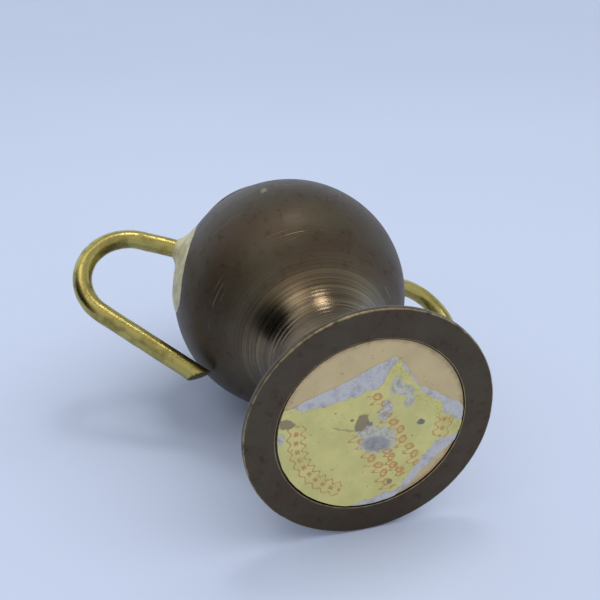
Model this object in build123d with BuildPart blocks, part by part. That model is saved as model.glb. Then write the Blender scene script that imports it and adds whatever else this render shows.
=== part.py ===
"""Miniature brass urn: a turned bowl on a round foot, two bent wire handles, a loose lid
and a torn paper label under the foot.

Millimetres, +Z up. The origin is the centre of the foot's resting ring, on the surface
that the urn stands on. The handles leave the belly towards +X and -X.
"""
import os
from math import atan2, cos, degrees, radians, sin, sqrt

from build123d import *

# ---- driving dimensions -------------------------------------------------------------
foot_radius = 15.0            # outside of the foot
foot_rim_thickness = 0.9      # the thin edge of the foot
foot_top_height = 2.0         # where the foot's cone meets the flare
foot_rim_round = 0.3          # roundness of the foot's edge
foot_ledge_width = 3.4        # from the foot's edge to the flare that climbs to the waist
seam_height = 3.2             # the foot is joined to the bowl here
waist_radius = 6.8            # narrowest part
waist_height = 12.0           # height of the narrowest part
belly_radius = 16.5           # the belly is a ball
belly_height = 33.8           # height of the ball's centre
bowl_wall = 1.2

rivet_radius = 1.6            # holds the foot to the bowl
rivet_head_radius = 2.8
rivet_head_height = 1.0
rivet_length = 8.5

neck_radius = 6.8             # hole in the top of the bowl
collar_wall = 0.9
collar_foot_overlap = 1.6     # how far the collar's foot spreads over the edge of the hole
collar_throat_overlap = 0.7
collar_lip_overlap = 1.5
collar_height = 0.9           # from the edge of the bowl's hole to the top of the lip
collar_lip_height = 0.5
collar_lip_round = 0.15       # roundness of the lip's two edges
collar_throat_share = 1 / 3   # the throat is this far up the collar
collar_spigot = 2.2           # how far the collar goes down into the bowl

wire_radius = 1.32            # handle wire
joint_latitude = 25.0         # the handles leave the belly this far above its equator
joint_set_back = 3.7          # and this far round towards -Y
loop_lift = 10.5              # the wire leaves the belly this far off square, downwards
loop_reach = 6.2              # straight wire between the belly and the bend
loop_bend_radius = 6.5
loop_end_angle = 67.5         # from the joint round the belly to the free end
loop_end_gap = 0.6            # the free end stands off the belly
swing_left = 41.0             # the handles are bent forwards, towards +Y, by this much
swing_right = 22.0
end_cut_side = 0.75           # slopes of the snipped end, across and along the loop's face
end_cut_face = -0.15

pad_length = 16.0             # solder under the root of each handle
pad_width = 11.0
pad_thickness = 0.25
pad_drop = 3.0                # the pad's centre lies below the wire

resting_ring_width = 3.65     # flat ring around the shallow recess under the foot
recess_depth = 0.45
label_gap = 0.2               # between the label's edge and the recess's wall
label_shift = 0.1             # the label is stuck a little off centre
drawn_label_radius = 11.15    # the torn outlines below are drawn for this radius
backing_thickness = 0.22
core_thickness = 0.09
face_thickness = 0.07

lid_seat_gap = 0.1            # the lid rests this far above the collar's lip
lid_fit_gap = 0.4             # between the lid's floor edge and the collar's lip
lid_wall = 2.4                # from the lid's floor edge to its outside
lid_skirt_depth = 2.1
lid_skirt_edge = 0.7          # width of the skirt's bottom edge
lid_shoulder_height = 0.2     # outside wall above the lid's floor
lid_dome_height = 2.6
lid_dome_fullness = 0.72      # share of the dome's rise that is reached half-way in
knob_seat_radius = 2.2
knob_ball_radius = 2.7
knob_tip_radius = 0.9
knob_neck_radius = 1.2
knob_neck_height = 0.9
knob_tip_height = 0.9
tenon_radius = 0.7            # the knob's tenon goes through the lid and is peened over
peen_radius = 0.95
peen_height = 0.5

ring_tolerance = 0.01         # for picking the edges of a turned piece by their radius

# ---- derived sizes ------------------------------------------------------------------
flare_radius = foot_radius - foot_ledge_width
recess_radius = foot_radius - resting_ring_width
label_radius = recess_radius - label_gap
torn_scale = label_radius / drawn_label_radius
belly_inner_radius = belly_radius - bowl_wall
belly_centre = (0, 0, belly_height)
waist_drop = belly_height - waist_height
# the arc above the waist touches the ball from outside
waist_arc = (waist_radius**2 + waist_drop**2 - belly_radius**2) / (2 * (belly_radius - waist_radius))
# the arc below it runs down to the foot's cone
flare_run = flare_radius - waist_radius
flare_drop = waist_height - foot_top_height
flare_arc = (flare_run**2 + flare_drop**2) / (2 * flare_run)


def flare_at(height):
    """Outside radius of the flare between the foot and the waist."""
    return waist_radius + flare_arc - sqrt(flare_arc**2 - (waist_height - height) ** 2)


def ball_height(radius, ball=belly_radius):
    """Height of the upper half of a ball about the belly's centre."""
    return belly_height + sqrt(ball**2 - radius**2)


neck_edge = ball_height(neck_radius)
mouth_height = neck_edge + collar_height
collar_bore = neck_radius - collar_wall
collar_foot_radius = neck_radius + collar_foot_overlap
collar_throat_radius = neck_radius + collar_throat_overlap
collar_lip_radius = neck_radius + collar_lip_overlap
lid_floor = mouth_height + lid_seat_gap
lid_floor_radius = collar_lip_radius + lid_fit_gap
lid_radius = lid_floor_radius + lid_wall
lid_shoulder = lid_floor + lid_shoulder_height
lid_top = lid_floor + lid_dome_height

os.makedirs("parts", exist_ok=True)


def finish(builder, name):
    """Label a finished piece and write its file."""
    builder.part.label = name
    export_step(builder.part, f"parts/{name}.step")


def ring_edges(builder, radius):
    """The circular edges of a turned piece at one radius."""
    circles = builder.edges().filter_by(GeomType.CIRCLE)
    return circles.filter_by(lambda edge: abs(edge.radius - radius) < ring_tolerance)


# ---- bowl: belly, waist and the hole for the collar ---------------------------------
tangent_share = belly_radius / (belly_radius + waist_arc)
tangent_point = ((waist_radius + waist_arc) * tangent_share, belly_height - waist_drop * tangent_share)
waist_turn = atan2(waist_drop, waist_radius + waist_arc)
waist_mid = (
    waist_radius + waist_arc * (1 - cos(waist_turn / 2)),
    waist_height + waist_arc * sin(waist_turn / 2),
)
flare_mid_height = (seam_height + waist_height) / 2

with BuildPart() as bowl:
    with BuildSketch(Plane.XZ):
        with BuildLine():
            Line((0, seam_height), (flare_at(seam_height), seam_height))
            ThreePointArc(
                (flare_at(seam_height), seam_height),
                (flare_at(flare_mid_height), flare_mid_height),
                (waist_radius, waist_height),
            )
            ThreePointArc((waist_radius, waist_height), waist_mid, tangent_point)
            ThreePointArc(tangent_point, (belly_radius, belly_height), (neck_radius, neck_edge))
            Line((neck_radius, neck_edge), (neck_radius, ball_height(neck_radius, belly_inner_radius)))
            ThreePointArc(
                (neck_radius, ball_height(neck_radius, belly_inner_radius)),
                (belly_inner_radius, belly_height),
                (0, belly_height - belly_inner_radius),
            )
            Line((0, belly_height - belly_inner_radius), (0, seam_height))
        make_face()
    revolve(axis=Axis.Z)
    with BuildSketch(Plane.XY.offset(seam_height)):
        Circle(rivet_radius)
    extrude(amount=recess_depth + rivet_length - seam_height, mode=Mode.SUBTRACT)
finish(bowl, "bowl")

# ---- foot: thin round foot with a recess for the label ------------------------------
with BuildPart() as foot:
    with BuildSketch(Plane.XZ):
        with BuildLine():
            Polyline(
                (rivet_radius, seam_height),
                (rivet_radius, recess_depth + rivet_head_height),
                (rivet_head_radius, recess_depth),
                (recess_radius, recess_depth),
                (recess_radius, 0),
                (foot_radius, 0),
                (foot_radius, foot_rim_thickness),
                (flare_radius, foot_top_height),
            )
            flare_low = (foot_top_height + seam_height) / 2
            ThreePointArc(
                (flare_radius, foot_top_height),
                (flare_at(flare_low), flare_low),
                (flare_at(seam_height), seam_height),
            )
            Line((flare_at(seam_height), seam_height), (rivet_radius, seam_height))
        make_face()
    revolve(axis=Axis.Z)
    fillet(ring_edges(foot, foot_radius), radius=foot_rim_round)
finish(foot, "foot")

# ---- foot rivet: peened flush under the label ---------------------------------------
with BuildPart() as foot_rivet:
    with BuildSketch(Plane.XZ):
        with BuildLine():
            Polyline(
                (0, recess_depth),
                (rivet_head_radius, recess_depth),
                (rivet_radius, recess_depth + rivet_head_height),
                (rivet_radius, recess_depth + rivet_length),
                (0, recess_depth + rivet_length),
                close=True,
            )
        make_face()
    revolve(axis=Axis.Z)
finish(foot_rivet, "foot_rivet")

# ---- mouth collar: sits on the belly, with a spigot in the bowl's hole --------------
throat_height = neck_edge + collar_height * collar_throat_share
lip_start = mouth_height - collar_lip_height
with BuildPart() as mouth_collar:
    with BuildSketch(Plane.XZ):
        with BuildLine():
            Polyline(
                (collar_lip_radius, lip_start),
                (collar_lip_radius, mouth_height),
                (collar_bore, mouth_height),
                (collar_bore, ball_height(collar_foot_radius) - bowl_wall),
                (collar_foot_radius, ball_height(collar_foot_radius) - bowl_wall),
                (collar_foot_radius, ball_height(collar_foot_radius)),
            )
            ThreePointArc(
                (collar_foot_radius, ball_height(collar_foot_radius)),
                (collar_throat_radius, throat_height),
                (collar_lip_radius, lip_start),
            )
        make_face()
    revolve(axis=Axis.Z)
    with Locations(belly_centre):
        Sphere(belly_radius, mode=Mode.SUBTRACT)
    with BuildSketch(Plane.XY.offset(neck_edge - collar_spigot)):
        Circle(neck_radius)
        Circle(collar_bore, mode=Mode.SUBTRACT)
    extrude(amount=collar_spigot + collar_height * collar_throat_share)
    fillet(ring_edges(mouth_collar, collar_lip_radius), radius=collar_lip_round)
finish(mouth_collar, "mouth_collar")


# ---- handles: one bent wire each, soldered to the belly at one end ------------------
def loop_plane(side, swing):
    """Plane of a handle: origin on the belly, x straight out, y towards the free end."""
    latitude, set_back = radians(joint_latitude), radians(joint_set_back)
    outward = Vector(
        side * cos(latitude) * cos(set_back), -cos(latitude) * sin(set_back), sin(latitude)
    )
    downward = (outward * outward.Z - Vector(0, 0, 1)).normalized()
    forward = outward.cross(downward) * side
    towards_end = downward * cos(radians(swing)) + forward * sin(radians(swing))
    return Plane(
        origin=Vector(*belly_centre) + outward * belly_radius,
        x_dir=outward,
        z_dir=outward.cross(towards_end),
    )


def loop_lines():
    """The bend's start, its centre, its end and the free end, in the handle's own plane."""
    lift = radians(loop_lift)
    start = Vector(loop_reach * cos(lift), loop_reach * sin(lift))
    centre = start + Vector(-sin(lift), cos(lift)) * loop_bend_radius
    stand_off = belly_radius + wire_radius + loop_end_gap
    end_angle = radians(loop_end_angle)
    free_end = Vector(stand_off * cos(end_angle) - belly_radius, stand_off * sin(end_angle))
    to_end = free_end - centre
    run = sqrt(to_end.length**2 - loop_bend_radius**2)
    heading = atan2(to_end.Y, to_end.X) + atan2(loop_bend_radius, run)
    bend_end = centre + Vector(sin(heading), -cos(heading)) * loop_bend_radius
    return start, degrees(heading) - loop_lift, bend_end, free_end


def bend_handle(name, side, swing):
    """Make one handle and the pad of solder at its root."""
    plane = loop_plane(side, swing)
    start, turn, bend_end, free_end = loop_lines()
    root = start * (-bowl_wall / start.length)
    run = (free_end - bend_end).normalized()
    with BuildPart() as handle:
        with BuildLine(plane) as path:
            reach = Line(tuple(root), tuple(start))
            bend = JernArc(reach @ 1, reach % 1, loop_bend_radius, turn)
            PolarLine(bend @ 1, (free_end - bend_end).length + 2 * wire_radius, direction=bend % 1)
        with BuildSketch(Plane(origin=path.line @ 0, z_dir=path.line % 0)):
            Circle(wire_radius)
        sweep(path=path.line)
        with Locations(belly_centre):
            Sphere(belly_radius, mode=Mode.SUBTRACT)
        cut_normal = run + Vector(-run.Y, run.X) * -end_cut_side + Vector(0, 0, end_cut_face)
        tip = plane.from_local_coords(free_end)
        cut_direction = plane.from_local_coords(free_end + cut_normal) - tip
        split(bisect_by=Plane(origin=tip, z_dir=cut_direction), keep=Keep.BOTTOM)
    finish(handle, f"handle_{name}")

    with BuildPart() as pad:
        with BuildSketch(Plane(origin=plane.origin, x_dir=plane.y_dir, z_dir=plane.x_dir)):
            with Locations((pad_drop, 0)):
                Ellipse(pad_length / 2, pad_width / 2)
        extrude(amount=belly_radius / 2, both=True)
        with Locations(belly_centre):
            Sphere(belly_radius + pad_thickness, mode=Mode.INTERSECT)
            Sphere(belly_radius, mode=Mode.SUBTRACT)
        add(handle.part, mode=Mode.SUBTRACT)
    finish(pad, f"solder_pad_{name}")


bend_handle("left", -1, swing_left)
bend_handle("right", 1, swing_right)


# ---- label: card disc, torn paper and torn printed face, stuck under the foot -------
core_outline = [
    (-12, 0.4), (-0.6, -9.0), (1.2, -8.2), (3.6, -6.0), (9.4, -4.7), (12, -3.0),
    (12, 1.0), (9.6, 4.4), (8.2, 8.0), (6.0, 12), (-12, 12),
]
face_outline = [
    (-12, -0.4), (-8.5, -1.2), (-4.3, -3.0), (-1.1, -5.0), (-0.8, -7.8), (1.0, -7.9),
    (4.5, -5.0), (7.9, -4.1), (8.3, -2.9), (12, -1.6), (8.8, 0.9), (6.9, 5.4), (6.9, 8.3),
    (2.8, 9.8), (0.4, 12), (-12, 12),
]


def paper_layer(name, top, thickness, outline):
    """One layer of the label, cut to the label's circle and torn to the outline."""
    with BuildPart() as layer:
        with BuildSketch(Plane.XY.offset(top - thickness)):
            with Locations((label_shift, 0)):
                Circle(label_radius)
            if outline:
                with BuildLine():
                    Polyline(*[(x * torn_scale, y * torn_scale) for x, y in outline], close=True)
                make_face(mode=Mode.INTERSECT)
        extrude(amount=thickness)
    finish(layer, name)


paper_layer("label_backing", recess_depth, backing_thickness, None)
paper_layer("label_core", recess_depth - backing_thickness, core_thickness, core_outline)
paper_layer("label_face", recess_depth - backing_thickness - core_thickness, face_thickness, face_outline)

# ---- lid: shallow turned cap with a peened knob -------------------------------------
with BuildPart() as lid_cap:
    with BuildSketch(Plane.XZ):
        with BuildLine():
            Polyline(
                (knob_seat_radius, lid_top),
                (tenon_radius, lid_top),
                (tenon_radius, lid_floor),
                (lid_floor_radius, lid_floor),
                (lid_radius - lid_skirt_edge, lid_floor - lid_skirt_depth),
                (lid_radius, lid_floor - lid_skirt_depth),
                (lid_radius, lid_shoulder),
            )
            dome_middle = lid_shoulder + lid_dome_fullness * (lid_top - lid_shoulder)
            ThreePointArc(
                (lid_radius, lid_shoulder),
                ((lid_radius + knob_seat_radius) / 2, dome_middle),
                (knob_seat_radius, lid_top),
            )
        make_face()
    revolve(axis=Axis.Z)
finish(lid_cap, "lid_cap")

# ---- lid knob: turned ball on a short neck, with its tenon through the lid ----------
ball_seat = sqrt(knob_ball_radius**2 - knob_neck_radius**2)
ball_centre = lid_top + 2 * knob_neck_height + ball_seat
tip_seat = sqrt(knob_ball_radius**2 - knob_tip_radius**2)
tip_top = ball_centre + knob_ball_radius + knob_tip_height
with BuildPart() as lid_knob:
    with BuildSketch(Plane.XZ):
        with BuildLine():
            Polyline(
                (0, lid_floor - peen_height),
                (peen_radius - tenon_radius / 2, lid_floor - peen_height),
                (peen_radius, lid_floor),
                (tenon_radius, lid_floor),
                (tenon_radius, lid_top),
                (knob_seat_radius, lid_top),
                (knob_seat_radius, lid_top + knob_neck_height / 2),
                (knob_neck_radius, lid_top + knob_neck_height),
                (knob_neck_radius, ball_centre - ball_seat),
            )
            ThreePointArc(
                (knob_neck_radius, ball_centre - ball_seat),
                (knob_ball_radius, ball_centre),
                (knob_tip_radius, ball_centre + tip_seat),
            )
            Polyline(
                (knob_tip_radius, ball_centre + tip_seat),
                (knob_tip_radius / 2, tip_top),
                (0, tip_top),
                (0, lid_floor - peen_height),
            )
        make_face()
    revolve(axis=Axis.Z)
finish(lid_knob, "lid_knob")
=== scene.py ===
from math import atan2, cos, degrees, hypot, pi, radians, sin, sqrt

import bmesh
import bpy
from bpy.props import FloatProperty, FloatVectorProperty, IntProperty, PointerProperty
from mathutils import Matrix, Vector, noise


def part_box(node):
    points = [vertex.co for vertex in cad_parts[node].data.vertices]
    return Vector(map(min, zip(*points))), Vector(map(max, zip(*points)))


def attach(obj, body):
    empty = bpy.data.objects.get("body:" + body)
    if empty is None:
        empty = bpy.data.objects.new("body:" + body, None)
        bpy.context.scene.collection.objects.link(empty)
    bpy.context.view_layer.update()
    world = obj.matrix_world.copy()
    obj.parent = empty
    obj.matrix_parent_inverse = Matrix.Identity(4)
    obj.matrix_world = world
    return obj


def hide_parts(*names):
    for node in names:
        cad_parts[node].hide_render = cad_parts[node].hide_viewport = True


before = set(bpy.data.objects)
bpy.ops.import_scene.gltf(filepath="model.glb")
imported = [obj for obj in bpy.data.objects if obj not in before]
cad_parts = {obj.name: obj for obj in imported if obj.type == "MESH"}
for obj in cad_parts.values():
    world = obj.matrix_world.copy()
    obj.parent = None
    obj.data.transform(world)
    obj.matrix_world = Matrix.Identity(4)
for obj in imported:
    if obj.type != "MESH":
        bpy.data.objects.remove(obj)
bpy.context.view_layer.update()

bl_info = {
    "name": "Miniature brass urn",
    "version": (1, 0, 0),
    "blender": (4, 5, 0),
    "location": "View3D > Sidebar > Urn",
    "description": "A turned brass urn with wire handles, a loose lid and a torn paper label",
    "category": "Object",
}

MM = 0.001  # every size below is in millimetres
SHARP = radians(32)  # edges that turn by more than this stay crisp


def cad_size(node, corner, axis):
    """A coordinate of a CAD node's box, in millimetres."""
    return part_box(node)[corner][axis] / MM


# ---- sizes and colours that a user would change ---------------------------------------
def size(name, default, description):
    """A length in millimetres."""
    return FloatProperty(name=name, default=default, description=description, min=0.0)


def angle(name, default, description):
    """An angle, given here in degrees."""
    return FloatProperty(name=name, default=radians(default), description=description,
                         subtype="ANGLE", unit="ROTATION")


def colour(name, default, description):
    """A linear colour."""
    return FloatVectorProperty(name=name, default=default, description=description,
                               subtype="COLOR", size=3, min=0.0, max=1.0)


class UrnBodySizes(bpy.types.PropertyGroup):
    belly_radius: size("Belly radius", cad_size("bowl", 1, 0), "Outside of the round belly")
    belly_height: size("Belly height", 33.8, "Height of the belly's centre")
    wall: size("Wall", 1.2, "Thickness of the bowl's wall")
    waist_radius: size("Waist radius", 6.8, "Narrowest part above the foot")
    waist_height: size("Waist height", 12.0, "Height of the narrowest part")
    seam_height: size("Seam height", cad_size("foot", 1, 2), "Where the foot meets the bowl")
    foot_radius: size("Foot radius", cad_size("foot", 1, 0), "Outside of the foot")
    rim_thickness: size("Rim thickness", 0.9, "Thickness of the foot's edge")
    rim_round: size("Rim round", 0.28, "Worn roundness of the foot's edge")
    ledge_width: size("Ledge width", 3.4, "From the foot's edge to the flare")
    ledge_height: size("Ledge height", 2.0, "Where the foot's top meets the flare")
    ring_width: size("Ring width", 3.65, "Flat ring that the urn stands on")
    recess_depth: size("Recess depth", 0.45, "Recess under the foot for the label")
    rivet_radius: size("Rivet radius", 1.6, "Shank of the rivet through the foot")
    rivet_head: size("Rivet head", 2.8, "Countersunk head of the rivet")
    rivet_top: size("Rivet top", cad_size("foot_rivet", 1, 2), "Top of the rivet's blind hole")
    neck_radius: size("Neck radius", 6.8, "Hole in the top of the bowl")
    groove_depth: size("Groove depth", 0.019, "Depth of the turning marks at the waist")
    groove_pitch: size("Groove pitch", 0.62, "Distance between the turning marks")
    segments: IntProperty(name="Segments", default=144, min=32,
                          description="Steps round a turned piece")


class UrnCollarSizes(bpy.types.PropertyGroup):
    wall: size("Wall", 0.9, "Thickness of the collar's spigot")
    spigot: size("Spigot", 2.2, "How far the collar goes down into the bowl")
    foot_overlap: size("Foot overlap", 1.6, "Spread of the collar's foot on the belly")
    throat_overlap: size("Throat overlap", 0.7, "Waist of the collar")
    lip_overlap: size("Lip overlap", 1.5, "Spread of the collar's lip")
    height: size("Height", 0.9, "From the edge of the bowl's hole to the lip")
    lip_height: size("Lip height", 0.5, "Thickness of the lip")
    lip_round: size("Lip round", 0.15, "Roundness of the lip's edges")


class UrnHandleSizes(bpy.types.PropertyGroup):
    wire_radius: size("Wire radius", 1.32, "Radius of the handle wire")
    latitude: angle("Latitude", 25.0, "How far above the equator the handles leave the belly")
    set_back: angle("Set back", 3.7, "How far round the belly they leave it")
    lift: angle("Lift", 10.5, "How far off square the wire leaves the belly")
    reach: size("Reach", 6.2, "Straight wire between the belly and the bend")
    bend_radius: size("Bend radius", 6.5, "Radius of the bend at the wire's centre")
    end_angle: angle("End angle", 67.5, "From the joint round the belly to the free end")
    end_gap: size("End gap", 0.6, "The free end stands off the belly")
    swing_left: angle("Swing left", 41.0, "How far forwards the left handle is bent")
    swing_right: angle("Swing right", 22.0, "How far forwards the right handle is bent")
    cut_side: FloatProperty(name="Cut side", default=-0.75, description="Slope of the snipped end")
    cut_face: FloatProperty(name="Cut face", default=-0.15, description="Slope across the end")
    unevenness: size("Unevenness", 0.03, "How much the wire's surface wanders")
    segments: IntProperty(name="Segments", default=32, min=12, description="Steps round the wire")


class UrnSolderSizes(bpy.types.PropertyGroup):
    length: size("Length", 16.0, "Length of the solder down the belly")
    width: size("Width", 14.6, "Width of the solder")
    thickness: size("Thickness", 0.25, "Thickness of the solder")
    drop: size("Drop", 3.0, "How far the solder has run down from the wire")
    fillet: size("Fillet", 1.1, "Height of the fillet against the wire")


class UrnLabelSizes(bpy.types.PropertyGroup):
    gap: size("Gap", 0.2, "Between the label and the wall of the recess")
    shift: size("Shift", 0.1, "How far the label is stuck off centre")
    card: size("Card", 0.22, "Thickness of the card")
    core: size("Torn paper", 0.09, "Thickness of the torn paper")
    face: size("Printed face", 0.07, "Thickness of the printed face")
    tear: size("Tear", 0.46, "How ragged the torn edges are")


class UrnLidSizes(bpy.types.PropertyGroup):
    fit_gap: size("Fit gap", 0.4, "Between the lid's floor edge and the collar's lip")
    wall: size("Wall", 2.4, "From the lid's floor edge to its outside")
    skirt_edge: size("Skirt edge", 0.7, "Width of the skirt's bottom edge")
    shoulder: size("Shoulder", 0.2, "Outside wall above the lid's floor")
    dome: size("Dome", 2.6, "Height of the lid's top above its floor")
    dome_fullness: size("Dome fullness", 0.72, "Share of the rise reached half-way in")
    knob_seat: size("Knob seat", 2.2, "Radius of the knob's base")
    knob_ball: size("Knob ball", 2.7, "Radius of the knob's ball")
    knob_neck: size("Knob neck", 1.2, "Radius of the knob's neck")
    neck_height: size("Neck height", 0.9, "Height of the knob's neck")
    tip_radius: size("Tip radius", 0.9, "Radius of the point on the knob")
    tip_height: size("Tip height", 0.9, "Height of the point on the knob")
    tenon: size("Tenon", 0.7, "Radius of the tenon through the lid")
    peen_radius: size("Peen radius", 0.95, "Radius of the peened end")
    peen_height: size("Peen height", 0.5, "Height of the peened end")
    edge_round: size("Edge round", 0.12, "Roundness of the lid's edges")


class UrnColours(bpy.types.PropertyGroup):
    patina: colour("Patina", (0.090, 0.062, 0.040), "Brown of the darkened brass")
    patina_dark: colour("Dark patina", (0.034, 0.024, 0.016), "Stains in the darkened brass")
    patina_olive: colour("Olive patina", (0.096, 0.077, 0.050), "Paler patches of the brass")
    bare_brass: colour("Bare brass", (0.72, 0.56, 0.30), "Brass where the finish has worn off")
    wire: colour("Wire", (0.45, 0.375, 0.12), "Bright drawn brass")
    wire_dark: colour("Dark wire", (0.13, 0.095, 0.030), "Tarnish on the wire")
    solder: colour("Solder", (0.42, 0.37, 0.19), "Dull solder stained by brass")
    solder_pale: colour("Pale solder", (0.60, 0.55, 0.36), "Rubbed solder")
    card: colour("Card", (0.60, 0.47, 0.26), "Aged card")
    card_stain: colour("Card stain", (0.30, 0.19, 0.10), "Stains on the card")
    paper: colour("Torn paper", (0.51, 0.50, 0.50), "Inside of the torn paper")
    paper_dark: colour("Dirty paper", (0.24, 0.23, 0.24), "Dirt on the torn paper")
    print_ground: colour("Print ground", (0.62, 0.565, 0.21), "Yellow of the printed face")
    ink: colour("Ink", (0.50, 0.20, 0.055), "Ornament on the printed face")
    floor: colour("Floor", (0.455, 0.508, 0.640), "Pale cloth that the urn lies on")


class UrnStage(bpy.types.PropertyGroup):
    lens: FloatProperty(name="Lens", default=54.0, description="Focal length in millimetres")
    daylight: FloatProperty(name="Daylight", default=1.6, description="Strength of the soft sun")
    key: FloatProperty(name="Key light", default=0.14, description="Power in watts", unit="POWER")
    fill: FloatProperty(name="Fill light", default=0.09, description="Power in watts", unit="POWER")
    sheen: FloatProperty(name="Sheen", default=0.07, description="Power in watts", unit="POWER")
    sky: FloatProperty(name="Surroundings", default=1.22, description="Brightness of the room")
    floor_size: size("Floor size", 3000.0, "Half the width of the floor")


# ---- shader expressions ---------------------------------------------------------------
class Value:
    """A number worked out by a material's nodes, for use in Python expressions."""

    def __init__(self, finish, socket):
        self.finish, self.socket = finish, socket

    def math(self, operation, a, b):
        return self.finish.node("Math", {"operation": operation}, {0: a, 1: b})

    def __add__(self, other):
        return self.math("ADD", self, other)

    def __radd__(self, other):
        return self.math("ADD", other, self)

    def __sub__(self, other):
        return self.math("SUBTRACT", self, other)

    def __rsub__(self, other):
        return self.math("SUBTRACT", other, self)

    def __mul__(self, other):
        return self.math("MULTIPLY", self, other)

    def __rmul__(self, other):
        return self.math("MULTIPLY", other, self)

    def __truediv__(self, other):
        return self.math("DIVIDE", self, other)

    def __pow__(self, other):
        return self.math("POWER", self, other)

    def __abs__(self):
        return self.math("ABSOLUTE", self, 0.0)


class Finish:
    """A material under construction."""

    def __init__(self, name, **constants):
        self.material = bpy.data.materials.new(name)
        self.material.use_nodes = True
        self.tree = self.material.node_tree
        self.tree.nodes.clear()
        self.shader = self.tree.nodes.new("ShaderNodeBsdfPrincipled")
        self.output = self.tree.nodes.new("ShaderNodeOutputMaterial")
        self.tree.links.new(self.shader.outputs[0], self.output.inputs["Surface"])
        for socket, value in constants.items():
            self.shader.inputs[socket.replace("_", " ")].default_value = value

    def node(self, kind, settings=None, inputs=None, output=0):
        """Add a node: its settings first, then the values or links of its sockets."""
        made = self.tree.nodes.new("ShaderNode" + kind)
        for key, value in (settings or {}).items():
            if key == "stops":
                ramp = made.color_ramp.elements
                while len(ramp) < len(value):
                    ramp.new(0.5)
                for stop, (position, shade) in zip(ramp, value):
                    stop.position, stop.color = position, (*shade, 1.0)
            else:
                setattr(made, key, value)
        for key, value in (inputs or {}).items():
            if isinstance(value, Value):
                self.tree.links.new(value.socket, made.inputs[key])
            elif isinstance(value, tuple) and made.inputs[key].type == "RGBA":
                made.inputs[key].default_value = (*value, 1.0)
            else:
                made.inputs[key].default_value = value
        return Value(self, made.outputs[output])

    def feed(self, **sockets):
        """Link values to the shader."""
        for socket, value in sockets.items():
            self.tree.links.new(value.socket, self.shader.inputs[socket.replace("_", " ")])

    def place(self):
        """Object coordinates in millimetres, and their x, y and z."""
        point = self.node("TexCoord", output="Object")
        point = self.node("VectorMath", {"operation": "SCALE"}, {0: point, "Scale": 1 / MM})
        return point, [self.node("SeparateXYZ", {}, {0: point}, output=axis) for axis in range(3)]

    def vector(self, x=0.0, y=0.0, z=0.0):
        return self.node("CombineXYZ", {}, {0: x, 1: y, 2: z})

    def stretch(self, vector, amounts):
        return self.node("VectorMath", {"operation": "MULTIPLY"}, {0: vector, 1: amounts})

    def noise(self, vector, scale, detail=3.0, roughness=0.55, distortion=0.0):
        return self.node("TexNoise", {}, {"Vector": vector, "Scale": scale, "Detail": detail,
                                          "Roughness": roughness, "Distortion": distortion})

    def root(self, value):
        return self.node("Math", {"operation": "SQRT"}, {0: value})

    def sine(self, value):
        return self.node("Math", {"operation": "SINE"}, {0: value})

    def greater(self, a, b):
        return self.node("Math", {"operation": "MAXIMUM"}, {0: a, 1: b})

    def ramp(self, value, low, high, start=0.0, end=1.0):
        """A smooth step from start to end as the value goes from low to high."""
        return self.node("MapRange", {"interpolation_type": "SMOOTHSTEP"},
                         {0: value, 1: low, 2: high, 3: start, 4: end})

    def band(self, value, low, high, soft):
        """1 between low and high, falling to 0 over soft on either side."""
        return self.ramp(value, low - soft, low) * self.ramp(value, high, high + soft, 1.0, 0.0)

    def spot(self, x, y, centre, radii, edge):
        """1 inside an oval with a ragged edge."""
        across, along = (x - centre[0]) / radii[0], (y - centre[1]) / radii[1]
        return self.ramp(self.root(across * across + along * along) + edge, 0.85, 1.1, 1.0, 0.0)

    def mix(self, factor, a, b):
        """Colour a turning to colour b."""
        return self.node("Mix", {"data_type": "RGBA", "clamp_factor": True},
                         {0: factor, 6: a, 7: b}, output=2)

    def bump(self, height, distance, strength=1.0, under=None):
        inputs = {"Height": height, "Distance": distance * MM, "Strength": strength}
        if under is not None:
            inputs["Normal"] = under
        return self.node("Bump", {}, inputs)


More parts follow.
